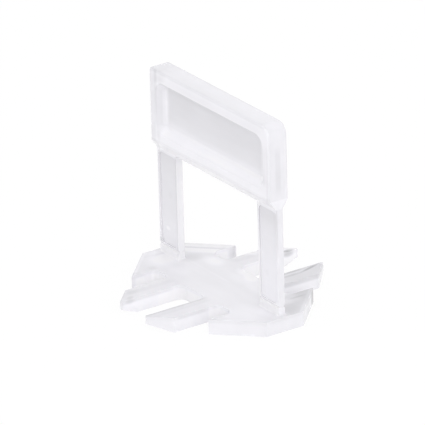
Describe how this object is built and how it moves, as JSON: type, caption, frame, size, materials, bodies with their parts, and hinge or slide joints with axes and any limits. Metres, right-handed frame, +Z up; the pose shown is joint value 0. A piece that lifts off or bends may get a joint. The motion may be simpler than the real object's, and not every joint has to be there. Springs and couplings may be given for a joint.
{
  "type": "tile leveling clip",
  "caption": "One-piece moulded tile leveling clip: comb-edged base plate, thin break-off uprights on either side of a wedge window, and a thick bridging head with framed recesses.",
  "frame": {"origin": "under the middle of the base plate, on the surface that it stands on", "axes": "+Z up from the base plate to the head, +X along the head from one upright to the other, +Y through the head's thickness"},
  "size_m": [0.0388, 0.0386, 0.0391],
  "materials": {
    "natural_plastic": "smooth moulded, milky translucent, satin"
  },
  "bodies": {
    "root": {"leveling_clip": "natural_plastic"}
  },
  "joints": []
}
